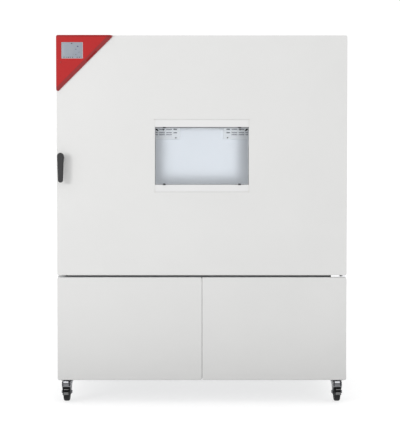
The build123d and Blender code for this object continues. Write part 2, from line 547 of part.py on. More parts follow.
# chamber door hinge brackets on the cabinet
hy = HINGE[1]
low = bx(705, XO, hy - 12, CAB_FRONT, BASE_Z1, 692.6) - cz(HINGE[0], hy, 5.0, 689, 694)
low = low + bx(705, 750, hy - 12, CAB_FRONT, BASE_Z1, 699.5)
low = fillet(low.edges().filter_by(Axis.Z).group_by(Axis.Y)[0], 3)
low = low + bx(749, XO, hy + 16, CAB_FRONT, BASE_Z1, 699.5)
rest = bx(-XI, -745, hy + 16, CAB_FRONT, BASE_Z1, 699.3)                  # block the closed door settles on
rest = fillet(rest.edges().filter_by(Axis.Z).group_by(Axis.Y)[0], 3)
up = bx(754, 774, hy, CAB_FRONT, 1984, 1994) + cz(HINGE[0], hy, 10, 1984, 1994)
up = up - cz(HINGE[0], hy, 5.05, 1983, 1995)
up = up + bx(740, 786, CAB_FRONT - 5, CAB_FRONT, 1970, 2001)
save("hinge_brackets", low, up, rest)

# ---------------------------------------------------------------- service doors, mirrored
sd = xz(rrect(-XO, -2, LOW_Z0, LOW_Z1, 3), Y_FRONT, LOW_BACK)
cut = sd & bx(-XO - 1, -XO + 30, -600, -500, 0, 800)
corners = [e for e in sd.edges().filter_by(Axis.Y) if e.center().X < -XO + 5]
rect_o = rect(-XO, -2, LOW_Z0, LOW_Z1)


def panel_sketch(off, ro, ri):
    x0, x1, z0, z1 = -XO + off, -2 - off, LOW_Z0 + off, LOW_Z1 - off
    face = rect(x0, x1, z0, z1)
    vs = face.vertices()
    outer = [p for p in vs if p.X < -400]
    inner = [p for p in vs if p.X > -400]
    face = fillet(outer, ro)
    inner = [p for p in face.vertices() if p.X > -400]
    return fillet(inner, ri)


sd = xz(panel_sketch(0, 10, 3), Y_FRONT, LOW_BACK)
sd = fillet(sd.edges().group_by(Axis.Y)[0], 2.4)
sd = sd - xz(panel_sketch(SKIN, 8.5, 1.5), Y_FRONT + SKIN, LOW_BACK + 1)
lhx, lhy = -LOW_HINGE[0], LOW_HINGE[1]
HZ = (640.0, 170.0)
for z in HZ:
    sd = sd - bx(-XO - 1, -XO + SKIN + 0.2, -533, LOW_BACK + 1, z - 9, z + 6)
    tab = bx(-XI, -760, Y_FRONT + SKIN, -514, z, z + 3) - cz(lhx, lhy, 4.08, z - 1, z + 4)
    tab = tab - bx(-XO, -XI + 0.1, -600, -500, z - 1, z + 6)
    sd = sd + bx(-XI - 0.5, -XI + 0.2, Y_FRONT + SKIN, -533.2, z, z + 3) + tab
sd = sd + bx(-60, -57, Y_FRONT + SKIN, -523, 150, 660) + bx(-420, -417, Y_FRONT + SKIN, -523, 150, 660)
save("service_door_left", sd)
save("service_door_right", mirrored(sd))

hinges = []
for z in HZ:
    arm = bx(lhx - 6, lhx + 6, lhy, BASE_FRONT, z - 4.4, z - 0.4) + cz(lhx, lhy, 6, z - 4.4, z - 0.4)
    arm = arm + cz(lhx, lhy, 4, z - 4.4, z + 10)
    arm = arm + bx(lhx - 6, lhx + 18, BASE_FRONT - 3, BASE_FRONT, z - 22, z + 8)
    hinges += [arm, mirrored(arm)]
for s in (-1, 1):
    a, b = sorted((s * 6.0, s * 30.0))
    hinges.append(bx(a, b, BASE_FRONT - 14, BASE_FRONT, 560, 600) - bx(min(a, b) - 1, max(a, b) + 1, BASE_FRONT - 15, BASE_FRONT - 10, 572, 588))
save("service_hinges", hinges)

# ---------------------------------------------------------------- casters
plates, AX_Z = [], WHEEL_R
for key, (sx, sy) in SWIVELS.items():
    p = bx(sx - 35, sx + 35, sy - 45, sy + 45, 125, 128)
    p = p + cone_z(sx, sy, 30, 26, 118.5, 125) + cz(sx, sy, 7, 104, 119) + cz(sx, sy, 11, 103, 107.7)
    for dx in (-26, 26):
        for dy in (-36, 36):
            p = p + (Pos(sx + dx, sy + dy, 122.6) * extrude(RegularPolygon(6.5, 6), amount=2.6))
    plates.append(p)
save("caster_plates", plates)


def fork(sx, sy):
    crown = cz(sx, sy, 33, 109, 118.2)
    ay = sy + TRAIL
    out = crown + bx(sx - 23, sx + 23, ay - 47.5, ay + 4, 109.5, 112)
    out = out + bx(sx - 23, sx + 23, ay - 47.5, ay - 45, 84, 112)
    leg_sk = poly(*[(ay + y, z) for y, z in ((-47.5, 112), (62, 112), (62, 98), (14, 46), (-12, 44), (-24, 64), (-38, 80), (-47.5, 84))])
    leg_sk = leg_sk + Pos(ay, AX_Z) * Circle(14)
    for s in (-1, 1):
        a, b = sorted((sx + s * 20.0, sx + s * 23.0))
        out = out + yz(leg_sk, a, b)
    out = out + cx(ay, AX_Z, 5, sx - 30, sx + 30)
    for s in (-1, 1):
        a, b = sorted((sx + s * 23.0, sx + s * 29.0))
        out = out + Pos(a, ay, AX_Z) * Rot(0, 90, 0) * extrude(RegularPolygon(9, 6), amount=b - a)
    return out - cz(sx, sy, 7.07, 100, 119)


def wheel(sx, sy):
    ay = sy + TRAIL
    core = cx(ay, AX_Z, 13, sx - 18.5, sx + 18.5) + cx(ay, AX_Z, 38, sx - 7, sx + 7)
    core = core + (cx(ay, AX_Z, 38, sx - 15, sx + 15) - cx(ay, AX_Z, 33, sx - 16, sx + 16))
    core = core - cx(ay, AX_Z, 5.08, sx - 20, sx + 20)
    tyre = cx(ay, AX_Z, WHEEL_R, sx - WHEEL_W / 2, sx + WHEEL_W / 2)
    tyre = fillet(tyre.edges().filter_by(GeomType.CIRCLE), 5)
    tyre = tyre - cx(ay, AX_Z, 38, sx - 20, sx + 20)
    return [core, tyre]


PEDAL_Y, PEDAL_Z = -36.0, 96.0       # pedal pivot, from the axle along Y and above the floor


def pedal(sx, sy):
    ay = sy + TRAIL
    pts = (
        (-38, 103), (-44, 99), (-44.4, 83.5), (-54, 80), (-64, 69), (-68, 56), (-68.5, 44), (-61.5, 43),
        (-61, 52), (-57, 64), (-50, 74), (-40, 84), (-31.5, 93), (-31.5, 101),
    )
    out = yz(poly(*[(ay + y, z) for y, z in pts]), sx - 17, sx + 17)
    out = out + bx(sx - 17, sx + 17, ay - 71, ay - 62, 43, 49)
    return out - cx(ay + PEDAL_Y, PEDAL_Z, 3.07, sx - 20, sx + 20)


for key, (sx, sy) in SWIVELS.items():
    f = fork(sx, sy)
    if key[0] == "f":
        f = f + cx(sy + TRAIL + PEDAL_Y, PEDAL_Z, 3, sx - 25, sx + 25)
    save(f"caster_fork_{key}", f)
    save(f"caster_wheel_{key}", wheel(sx, sy))
    if key[0] == "f":
        save(f"brake_pedal_{key}", pedal(sx, sy))
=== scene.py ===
import bpy, bmesh, math
from mathutils import Vector, Matrix


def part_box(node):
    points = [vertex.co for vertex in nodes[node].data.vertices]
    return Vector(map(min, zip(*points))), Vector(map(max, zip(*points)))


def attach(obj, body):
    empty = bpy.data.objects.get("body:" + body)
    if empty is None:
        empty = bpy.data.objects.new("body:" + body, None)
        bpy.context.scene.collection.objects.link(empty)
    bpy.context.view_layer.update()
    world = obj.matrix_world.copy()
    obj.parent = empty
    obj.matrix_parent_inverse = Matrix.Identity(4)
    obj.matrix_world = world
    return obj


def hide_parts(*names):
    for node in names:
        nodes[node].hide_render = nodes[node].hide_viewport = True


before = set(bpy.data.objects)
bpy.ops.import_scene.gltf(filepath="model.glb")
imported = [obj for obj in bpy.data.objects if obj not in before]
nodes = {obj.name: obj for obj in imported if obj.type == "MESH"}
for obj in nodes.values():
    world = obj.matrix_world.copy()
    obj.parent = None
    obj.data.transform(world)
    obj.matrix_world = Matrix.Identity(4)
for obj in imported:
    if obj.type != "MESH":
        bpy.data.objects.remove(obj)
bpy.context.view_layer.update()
scene = bpy.context.scene


# ---------------------------------------------------------------- colour helpers
def lin(c):
    c = c / 255.0
    return c / 12.92 if c <= 0.04045 else ((c + 0.055) / 1.055) ** 2.4


def rgb(r, g, b):
    return (lin(r), lin(g), lin(b), 1.0)


def shade(col, k):
    return (col[0] * k, col[1] * k, col[2] * k, 1.0)


# ---------------------------------------------------------------- materials
def base_material(name):
    m = bpy.data.materials.new(name)
    m.use_nodes = True
    nt = m.node_tree
    return m, nt, nt.nodes["Principled BSDF"]


def noise(nt, coord, scale, detail=2.0, rough=0.5, stretch=None):
    if stretch:
        mp = nt.nodes.new("ShaderNodeMapping")
        mp.inputs["Scale"].default_value = stretch
        nt.links.new(coord, mp.inputs["Vector"])
        coord = mp.outputs["Vector"]
    n = nt.nodes.new("ShaderNodeTexNoise")
    n.inputs["Scale"].default_value = scale
    n.inputs["Detail"].default_value = detail
    n.inputs["Roughness"].default_value = rough
    nt.links.new(coord, n.inputs["Vector"])
    return n


def ramp(nt, fac, stops):
    r = nt.nodes.new("ShaderNodeValToRGB")
    el = r.color_ramp.elements
    while len(el) > 1:
        el.remove(el[-1])
    el[0].position, el[0].color = stops[0]
    for p, c in stops[1:]:
        e = el.new(p)
        e.color = c
    nt.links.new(fac, r.inputs["Fac"])
    return r


def bump(nt, bsdf, height, strength, distance, chain=None):
    b = nt.nodes.new("ShaderNodeBump")
    b.inputs["Strength"].default_value = strength
    b.inputs["Distance"].default_value = distance
    nt.links.new(height, b.inputs["Height"])
    if chain:
        nt.links.new(chain.outputs["Normal"], b.inputs["Normal"])
    nt.links.new(b.outputs["Normal"], bsdf.inputs["Normal"])
    return b


def surface(name, col, rough, metallic=0.0, var=0.04, var_scale=6.0, grain=900.0, grain_strength=0.12,
            grain_dist=0.0002, rough_var=0.06, stretch=None, spec=0.5, coat=0.0, dark=None, dark_amount=0.0):
    m, nt, bsdf = base_material(name)
    co = nt.nodes.new("ShaderNodeTexCoord").outputs["Object"]
    big = noise(nt, co, var_scale, 4.0, 0.6)
    a, b = shade(col, 1 - var), shade(col, 1 + var)
    r = ramp(nt, big.outputs["Fac"], [(0.3, a), (0.7, b)])
    out = r.outputs["Color"]
    if dark is not None:
        patch = noise(nt, co, var_scale * 7, 6.0, 0.7)
        mask = ramp(nt, patch.outputs["Fac"], [(0.5, (0, 0, 0, 1)), (0.75, (dark_amount, dark_amount, dark_amount, 1))])
        mix = nt.nodes.new("ShaderNodeMixRGB")
        mix.inputs["Color2"].default_value = dark
        nt.links.new(out, mix.inputs["Color1"])
        nt.links.new(mask.outputs["Color"], mix.inputs["Fac"])
        out = mix.outputs["Color"]
    nt.links.new(out, bsdf.inputs["Base Color"])
    fine = noise(nt, co, grain, 3.0, 0.6, stretch)
    mr = nt.nodes.new("ShaderNodeMapRange")
    mr.inputs["To Min"].default_value = max(0.02, rough - rough_var)
    mr.inputs["To Max"].default_value = min(1.0, rough + rough_var)
    nt.links.new(fine.outputs["Fac"], mr.inputs["Value"])
    nt.links.new(mr.outputs["Result"], bsdf.inputs["Roughness"])
    bump(nt, bsdf, fine.outputs["Fac"], grain_strength, grain_dist)
    bsdf.inputs["Metallic"].default_value = metallic
    bsdf.inputs["Specular IOR Level"].default_value = spec
    if coat:
        bsdf.inputs["Coat Weight"].default_value = coat
        bsdf.inputs["Coat Roughness"].default_value = 0.12
    m.diffuse_color = col
    return m


PAINT = surface("powder_coat_white", rgb(222, 222, 221), 0.46, var=0.012, var_scale=2.2, grain=1400, grain_strength=0.22, grain_dist=0.00012, spec=0.42)
PAINT_LOW = surface("powder_coat_service", rgb(221, 221, 220), 0.46, var=0.012, var_scale=2.6, grain=1400, grain_strength=0.22, grain_dist=0.00012, spec=0.42)
TRIM = surface("powder_coat_trim", rgb(226, 226, 226), 0.40, var=0.010, var_scale=3.0, grain=1600, grain_strength=0.14, grain_dist=0.0001, spec=0.42)
RED = surface("red_moulding", rgb(177, 8, 10), 0.42, var=0.035, var_scale=9.0, grain=1100, grain_strength=0.18, grain_dist=0.00012, spec=0.36)
RED_LENS = surface("red_lens", rgb(142, 6, 10), 0.34, var=0.05, var_scale=60.0, grain=500, grain_strength=0.08, grain_dist=0.0002, spec=0.25)
# Greyer red for the fascia's down-right facing bevel: painted shade and sheen.
RED_BEVEL_SHADE = surface("red_bevel_shade_and_sheen", rgb(150, 42, 44), 0.5, var=0.03, var_scale=20.0, grain=1100, grain_strength=0.22, grain_dist=0.00012, spec=0.36)
# Darker red for the fascia's side faces and top edge: painted shade.
RED_EDGE_SHADE = surface("red_edge_painted_shade", rgb(146, 10, 14), 0.45, var=0.03, var_scale=20.0, grain=1100, grain_strength=0.2, grain_dist=0.00012, spec=0.3)
BLACK = surface("black_polyamide", rgb(34, 34, 36), 0.44, var=0.08, var_scale=30.0, grain=1500, grain_strength=0.30, grain_dist=0.00015, spec=0.5)
BLACK_DEEP = surface("black_recess", rgb(26, 26, 27), 0.62, var=0.10, var_scale=40.0, grain=1200, grain_strength=0.25, grain_dist=0.00015, spec=0.35)
RUBBER = surface("black_rubber", rgb(34, 34, 35), 0.72, var=0.10, var_scale=30.0, grain=900, grain_strength=0.35, grain_dist=0.0002, spec=0.35)
TYRE = surface("tyre_rubber", rgb(25, 25, 27), 0.66, var=0.12, var_scale=40.0, grain=700, grain_strength=0.4, grain_dist=0.00025, spec=0.35, dark=rgb(60, 59, 58), dark_amount=0.3)
WHEEL_CORE = surface("wheel_core_polyamide", rgb(48, 49, 52), 0.5, var=0.08, var_scale=40.0, grain=900, grain_strength=0.3, grain_dist=0.0002)
SILICONE = surface("grey_silicone", rgb(118, 120, 122), 0.58, var=0.05, var_scale=20.0, grain=700, grain_strength=0.25, grain_dist=0.0002, spec=0.4)
STAINLESS = surface("brushed_stainless", rgb(196, 198, 201), 0.30, metallic=1.0, var=0.04, var_scale=5.0, grain=260, grain_strength=0.10, grain_dist=0.0001, rough_var=0.09, stretch=(1.0, 1.0, 24.0))
STAINLESS_H = surface("brushed_stainless_h", rgb(200, 202, 204), 0.32, metallic=1.0, var=0.04, var_scale=5.0, grain=260, grain_strength=0.10, grain_dist=0.0001, rough_var=0.09, stretch=(1.0, 24.0, 24.0))
BAFFLE = surface("chamber_wall_sheet", rgb(226, 229, 233), 0.38, metallic=0.12, var=0.015, var_scale=3.0, grain=420, grain_strength=0.06, grain_dist=0.0001, stretch=(1.0, 1.0, 14.0), spec=0.4)
COVER = surface("white_cover_plate", rgb(245, 247, 249), 0.42, var=0.012, var_scale=6.0, grain=1300, grain_strength=0.15, grain_dist=0.0001)
ZINC = surface("zinc_plating", rgb(172, 174, 178), 0.34, metallic=0.9, var=0.08, var_scale=45.0, grain=700, grain_strength=0.18, grain_dist=0.0002, rough_var=0.1)
FORK = surface("fork_zinc", rgb(126, 127, 130), 0.42, metallic=0.85, var=0.12, var_scale=45.0, grain=700, grain_strength=0.22, grain_dist=0.0002, rough_var=0.1)
BRACKET = surface("polished_bracket", rgb(249, 249, 250), 0.14, metallic=1.0, var=0.01, var_scale=30.0, grain=900, grain_strength=0.03, grain_dist=0.0001, rough_var=0.03)
# Grey of the sill seal: partly its own colour, partly painted shade of the door gap.
SILL_SEAL_SHADE = surface("sill_seal_grey_shade", rgb(118, 118, 119), 0.7, var=0.06, var_scale=30.0, grain=900, grain_strength=0.3, grain_dist=0.0002, spec=0.3)
# Lighter copy of the fork zinc for the fork flares: painted highlight.
FORK_FLARE_HIGHLIGHT = surface("fork_flare_zinc_highlight", rgb(196, 197, 200), 0.40, metallic=0.7, var=0.06, var_scale=45.0, grain=700, grain_strength=0.2, grain_dist=0.0002, rough_var=0.08)
# Near-black for the upper faces of the brake pedals: painted shade under the fork crown.
PEDAL_TOP_SHADE = surface("pedal_top_painted_shade", rgb(13, 13, 14), 0.75, var=0.10, var_scale=60.0, grain=900, grain_strength=0.3, grain_dist=0.0002, spec=0.12)
# Light grey for strips on the black pedals: painted highlights.
PEDAL_HIGHLIGHT = surface("pedal_grip_highlight", rgb(124, 124, 125), 0.5, var=0.06, var_scale=60.0, grain=900, grain_strength=0.3, grain_dist=0.0002)
CHROME = surface("bright_steel", rgb(205, 206, 210), 0.16, metallic=1.0, var=0.03, var_scale=60.0, grain=900, grain_strength=0.06, grain_dist=0.0001)
GALV = surface("galvanised_sheet", rgb(168, 172, 176), 0.46, metallic=0.75, var=0.10, var_scale=55.0, grain=160, grain_strength=0.12, grain_dist=0.0003, rough_var=0.12, dark=rgb(120, 124, 128), dark_amount=0.5)
COIL = surface("coil_aluminium", rgb(190, 192, 196), 0.36, metallic=1.0, var=0.06, var_scale=30.0, grain=900, grain_strength=0.2, grain_dist=0.0002)
COMP = surface("compressor_enamel", rgb(30, 31, 34), 0.34, var=0.10, var_scale=20.0, grain=500, grain_strength=0.2, grain_dist=0.0003, spec=0.5)
BRASS = surface("brass", rgb(190, 158, 96), 0.28, metallic=1.0, var=0.08, var_scale=90.0, grain=900, grain_strength=0.12, grain_dist=0.0001)
CAN = surface("translucent_can", rgb(226, 230, 234), 0.44, var=0.03, var_scale=12.0, grain=300, grain_strength=0.2, grain_dist=0.0004)
BLUE_CAP = surface("blue_cap", rgb(44, 92, 150), 0.4, var=0.06, var_scale=60.0, grain=900, grain_strength=0.25, grain_dist=0.0002)
FOAM = surface("insulation", rgb(226, 223, 214), 0.9, var=0.10, var_scale=40.0, grain=420, grain_strength=0.6, grain_dist=0.0008, spec=0.2)
# Dark oxide steel for the plate nuts, also used for dark bars on the fork that are painted shade.
DARK_STEEL_AND_SHADE = surface("oxide_screw_and_shade", rgb(58, 58, 62), 0.38, metallic=0.8, var=0.08, var_scale=90.0, grain=900, grain_strength=0.2, grain_dist=0.0001)
LAMP = surface("lamp_diffuser", rgb(240, 243, 248), 0.3, var=0.01, var_scale=30.0, grain=900, grain_strength=0.1, grain_dist=0.0001)
FLOORM = surface("studio_floor", (0.34, 0.34, 0.342, 1.0), 0.75, var=0.006, var_scale=1.0, grain=60, grain_strength=0.03, grain_dist=0.0005, spec=0.1)
FLOORM.node_tree.nodes["Principled BSDF"].inputs["Emission Color"].default_value = (1.0, 1.0, 1.0, 1.0)
FLOORM.node_tree.nodes["Principled BSDF"].inputs["Emission Strength"].default_value = 0.70


def display_material():
    m, nt, bsdf = base_material("display_panel")
    co = nt.nodes.new("ShaderNodeTexCoord").outputs["Object"]
    sep = nt.nodes.new("ShaderNodeSeparateXYZ")
    nt.links.new(co, sep.inputs["Vector"])
    wave = nt.nodes.new("ShaderNodeMath")
    wave.operation = "MULTIPLY"
    wave.inputs[1].default_value = 2 * math.pi / 0.0062
    nt.links.new(sep.outputs["X"], wave.inputs[0])
    sn = nt.nodes.new("ShaderNodeMath")
    sn.operation = "SINE"
    nt.links.new(wave.outputs["Value"], sn.inputs[0])
    mr = nt.nodes.new("ShaderNodeMapRange")
    mr.inputs["From Min"].default_value = -1.0
    nt.links.new(sn.outputs["Value"], mr.inputs["Value"])
    stripes = ramp(nt, mr.outputs["Result"], [(0.0, rgb(138, 145, 155)), (0.55, rgb(150, 157, 166)), (1.0, rgb(160, 166, 174))])
    soft = noise(nt, co, 28.0, 2.0, 0.5)
    tint = ramp(nt, soft.outputs["Fac"], [(0.3, rgb(248, 250, 255)), (0.7, rgb(255, 255, 252))])
    mix = nt.nodes.new("ShaderNodeMixRGB")
    mix.blend_type = "MULTIPLY"
    mix.inputs["Fac"].default_value = 1.0
    nt.links.new(stripes.outputs["Color"], mix.inputs["Color1"])
    nt.links.new(tint.outputs["Color"], mix.inputs["Color2"])
    nt.links.new(mix.outputs["Color"], bsdf.inputs["Base Color"])
    fine = noise(nt, co, 900.0, 2.0, 0.5)
    rr = nt.nodes.new("ShaderNodeMapRange")
    rr.inputs["To Min"].default_value = 0.22
    rr.inputs["To Max"].default_value = 0.34
    nt.links.new(fine.outputs["Fac"], rr.inputs["Value"])
    nt.links.new(rr.outputs["Result"], bsdf.inputs["Roughness"])
    bump(nt, bsdf, fine.outputs["Fac"], 0.05, 0.0001)
    return m


def glass_material():
    m, nt, bsdf = base_material("window_glass")
    co = nt.nodes.new("ShaderNodeTexCoord").outputs["Object"]
    n = noise(nt, co, 5.0, 2.0, 0.5)
    r = ramp(nt, n.outputs["Fac"], [(0.3, rgb(30, 40, 42)), (0.7, rgb(40, 50, 52))])
    nt.links.new(r.outputs["Color"], bsdf.inputs["Base Color"])
    mr = nt.nodes.new("ShaderNodeMapRange")
    mr.inputs["To Min"].default_value = 0.02
    mr.inputs["To Max"].default_value = 0.05
    nt.links.new(n.outputs["Fac"], mr.inputs["Value"])
    nt.links.new(mr.outputs["Result"], bsdf.inputs["Roughness"])
    bsdf.inputs["Alpha"].default_value = 0.05
    bsdf.inputs["Specular IOR Level"].default_value = 0.5
    return m


DISPLAY = display_material()
GLASS = glass_material()
BEZEL = surface("display_bezel", rgb(168, 174, 181), 0.36, var=0.02, var_scale=30.0, grain=1200, grain_strength=0.15, grain_dist=0.0001)


# ---------------------------------------------------------------- mesh helpers
def obj_from(name, bm, mat, body, smooth=35.0):
    me = bpy.data.meshes.new(name)
    bm.normal_update()
    bm.to_mesh(me)
    bm.free()
    o = bpy.data.objects.new(name, me)
    scene.collection.objects.link(o)
    me.materials.append(mat)
    if smooth:
        for p in me.polygons:
            p.use_smooth = True
        me.set_sharp_from_angle(angle=math.radians(smooth))
    if body:
        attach(o, body)
    return o


def add_box(bm, x0, x1, y0, y1, z0, z1, r=0.0005, seg=2, rot=None):
    res = bmesh.ops.create_cube(bm, size=1.0)
    vs = res["verts"]
    c = Vector(((x0 + x1) / 2, (y0 + y1) / 2, (z0 + z1) / 2))
    s = Vector((x1 - x0, y1 - y0, z1 - z0))
    for v in vs:
        v.co = Vector((v.co.x * s.x, v.co.y * s.y, v.co.z * s.z))
    if r > 0:
        es = list({e for v in vs for e in v.link_edges})
        out = bmesh.ops.bevel(bm, geom=es, offset=min(r, min(s) * 0.45), segments=seg, affect="EDGES", profile=0.5)
        vs = list({v for f in out["faces"] for v in f.verts} | {v for v in vs if v.is_valid})
        seen, stack = set(vs), list(vs)
        while stack:
            v = stack.pop()
            for e in v.link_edges:
                w = e.other_vert(v)
                if w not in seen:
                    seen.add(w)
                    stack.append(w)
        vs = list(seen)
    if rot:
        axis, ang = rot
        bmesh.ops.rotate(bm, verts=vs, cent=(0, 0, 0), matrix=Matrix.Rotation(ang, 3, axis))
    bmesh.ops.translate(bm, verts=vs, vec=c)
    return vs


def add_lathe(bm, profile, centre, axis="Y", seg=32, closed=True):
    """profile: list of (radius, along); the axis direction is Y, X or Z."""
    rings = []
    for r, a in profile:
        ring = []
        if r < 1e-7:
            ring = [None]
            p = {"X": (a, 0, 0), "Y": (0, a, 0), "Z": (0, 0, a)}[axis]
            ring = [bm.verts.new(Vector(centre) + Vector(p))]
        else:
            for i in range(seg):
                t = 2 * math.pi * i / seg
                c, s = r * math.cos(t), r * math.sin(t)
                p = {"X": (a, c, s), "Y": (s, a, c), "Z": (c, s, a)}[axis]
                ring.append(bm.verts.new(Vector(centre) + Vector(p)))
        rings.append(ring)
    for i in range(len(rings) - 1):
        A, B = rings[i], rings[i + 1]
        for k in range(seg):
            j = (k + 1) % seg
            if len(A) == 1 and len(B) == 1:
                continue
            if len(A) == 1:
                bm.faces.new((A[0], B[j], B[k]))
            elif len(B) == 1:
                bm.faces.new((A[k], A[j], B[0]))
            else:
                bm.faces.new((A[k], A[j], B[j], B[k]))
    if closed and len(rings[0]) > 1 and len(rings[-1]) > 1:
        A, B = rings[-1], rings[0]
        for k in range(seg):
            j = (k + 1) % seg
            bm.faces.new((A[k], A[j], B[j], B[k]))
    bmesh.ops.recalc_face_normals(bm, faces=bm.faces)


def add_rod(bm, p, q, r, seg=10):
    p, q = Vector(p), Vector(q)
    d = (q - p).normalized()
    u = d.orthogonal().normalized()
    w = d.cross(u)
    rings = []
    L = (q - p).length
    for a, k in ((0, 0.0), (0, 0.75), (r * 0.35, 1.0), (L - r * 0.35, 1.0), (L, 0.75), (L, 0.0)):
        if k == 0.0:
            rings.append([bm.verts.new(p + d * a)])
        else:
            rings.append([bm.verts.new(p + d * a + (u * math.cos(2 * math.pi * i / seg) + w * math.sin(2 * math.pi * i / seg)) * r * k) for i in range(seg)])
    for i in range(len(rings) - 1):
        A, B = rings[i], rings[i + 1]
        for k in range(seg):
            j = (k + 1) % seg
            if len(A) == 1:
                bm.faces.new((A[0], B[j], B[k]))
            elif len(B) == 1:
                bm.faces.new((A[k], A[j], B[0]))
            else:
                bm.faces.new((A[k], A[j], B[j], B[k]))


def bevel_mod(node, width, angle=40.0, seg=2):
    o = nodes[node]
    md = o.modifiers.new("edge", "BEVEL")
    md.width = width
    md.segments = seg
    md.limit_method = "ANGLE"
    md.angle_limit = math.radians(angle)
    md.harden_normals = False


def paint_node(node, *mats):
    o = nodes[node]
    o.data.materials.clear()
    for m in mats:
        o.data.materials.append(m)
    for p in o.data.polygons:
        p.material_index = 0


MATS = {
    "base_frame": GALV, "side_panel_left": PAINT, "side_panel_right": PAINT, "top_cover": PAINT, "rear_bulkhead": GALV,
    "rear_covers": PAINT, "front_frame": STAINLESS_H, "insulation": FOAM, "chamber_liner": STAINLESS, "air_baffle": BAFFLE,
    "fan_covers": COVER, "shelf_rails": STAINLESS, "wire_shelf": CHROME, "probe_and_lamp": LAMP, "access_port_tube": STAINLESS,
    "fan_motors": COMP, "heater_coils": COIL, "evaporator": COIL, "condenser": COIL, "compressors": COMP,
    "electrical_box": GALV, "water_cans": CAN, "utility_connections": BRASS, "cover_screws": CHROME, "latch_keeper": STAINLESS,
    "hinge_brackets": TRIM, "service_hinges": ZINC, "caster_plates": ZINC, "door_shell": PAINT, "door_hinge_pins": CHROME,
    "door_liner": STAINLESS_H, "door_insulation": FOAM, "door_gasket": SILICONE, "window_panes": GLASS, "window_frame": TRIM,
    "window_trims": TRIM, "window_seals": RUBBER, "control_fascia": RED, "status_lens": RED_LENS, "touch_display": BEZEL,
    "handle_base": BLACK, "handle_lever": BLACK, "latch_spindle": ZINC, "service_door_left": PAINT_LOW, "service_door_right": PAINT_LOW,
    "circulation_fan_left": COIL, "circulation_fan_right": COIL, "condenser_fan": BLACK, "port_plug": SILICONE,
    "main_switch_knob": BLACK, "brake_pedal_fl": BLACK, "brake_pedal_fr": BLACK,
}
for k in ("fl", "fr", "rl", "rr"):
    MATS["caster_fork_" + k] = FORK
    MATS["caster_wheel_" + k] = TYRE
for name, m in MATS.items():
    paint_node(name, m)

for n in ("top_cover", "side_panel_left", "side_panel_right"):
    bevel_mod(n, 0.0005, seg=1)
for n, w in (("control_fascia", 0.0016), ("handle_lever", 0.0012), ("hinge_brackets", 0.0008), ("window_trims", 0.0004),
             ("touch_display", 0.0006), ("main_switch_knob", 0.0012), ("latch_keeper", 0.0006), ("port_plug", 0.0008),
             ("electrical_box", 0.0010), ("base_frame", 0.0015), ("door_liner", 0.0006), ("fan_covers", 0.0003),
             ("service_hinges", 0.0005), ("caster_plates", 0.0006), ("brake_pedal_fl", 0.0014), ("brake_pedal_fr", 0.0014)):
    bevel_mod(n, w)
for k in ("fl", "fr", "rl", "rr"):
    bevel_mod("caster_fork_" + k, 0.0007)

SEAL_GREY = surface("grey_seal", rgb(128, 130, 132), 0.6, var=0.05, var_scale=30.0, grain=900, grain_strength=0.25, grain_dist=0.0002, spec=0.35)
hb = nodes["hinge_brackets"]
hb.data.materials.append(BRACKET)
for p in hb.data.polygons:
    if p.center.x > 0.70 and p.center.z < 0.72:
        p.material_index = 1
seals = nodes["window_seals"]
seals.data.materials.append(SEAL_GREY)
for p in seals.data.polygons:
    c = p.center
    p.material_index = 0 if abs(abs(c.x) - 0.205) < 0.0079 and c.y < -0.5400 and (c.z > 1.4995 or c.z < 1.2012) else 1

# ---------------------------------------------------------------- control fascia: screen and its marks
FY = -0.559
bm = bmesh.new()
add_box(bm, -0.7592, -0.6470, -0.5582, -0.5570, 1.8806, 1.9636, r=0.0004)
obj_from("display_screen", bm, DISPLAY, "door")

# Light strips along the screen's right and bottom edges: painted highlight.
DISPLAY_EDGE_HIGHLIGHT = surface("display_edge_highlight", rgb(214, 206, 212), 0.35, var=0.02, var_scale=60.0, grain=900, grain_strength=0.1, grain_dist=0.0001)
dlo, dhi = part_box("touch_display")
bm = bmesh.new()
add_box(bm, -0.6466, dhi[0] - 0.0003, -0.5583, -0.5572, dlo[2] + 0.0006, dhi[2] - 0.0006, r=0.0003, seg=1)
add_box(bm, dlo[0] + 0.0006, -0.6470, -0.5583, -0.5572, dlo[2] + 0.0003, 1.8803, r=0.0003, seg=1)
obj_from("display_edge_highlight", bm, DISPLAY_EDGE_HIGHLIGHT, "door")

MARK = surface("screen_mark", rgb(14, 15, 20), 0.35, var=0.04, var_scale=90.0, grain=900, grain_strength=0.1, grain_dist=0.0001)
MARK2 = surface("screen_mark_violet", rgb(46, 38, 100), 0.35, var=0.04, var_scale=90.0, grain=900, grain_strength=0.1, grain_dist=0.0001)
MARK3 = surface("screen_mark_light", rgb(84, 92, 82), 0.35, var=0.04, var_scale=90.0, grain=900, grain_strength=0.1, grain_dist=0.0001)


def px_to_fascia(cx, cy):
    """A place on the fascia given in millimetres right of and below its upper left corner."""
    return -0.790 + cx / 1000.0, 2.005 - cy / 1000.0


marks = bmesh.new()
for mx, mw in ((43.5, 5.0), (55.6, 3.2), (66.5, 4.4), (77.0, 4.4), (89.5, 5.2), (114.5, 4.6), (126.5, 5.4)):
    x, z = px_to_fascia(mx, 120.6)
    add_box(marks, x - mw / 2000, x + mw / 2000, -0.5586, -0.5580, z - 0.0022, z + 0.0022, r=0.0003, seg=1)
x, z = px_to_fascia(84.5, 46.6)
add_box(marks, x - 0.0031, x + 0.0031, -0.5586, -0.5580, z - 0.0020, z + 0.0020, r=0.0003, seg=1)
obj_from("screen_marks", marks, MARK, "door")
marks = bmesh.new()
for mx, mz, w, h in ((117.5, 61.5, 7.4, 5.2), (107.0, 77.0, 5.4, 3.2)):
    x, z = px_to_fascia(mx, mz)
    add_box(marks, x - w / 2000, x + w / 2000, -0.5586, -0.5580, z - h / 2000, z + h / 2000, r=0.0003, seg=1)
obj_from("screen_marks_violet", marks, MARK2, "door")
marks = bmesh.new()
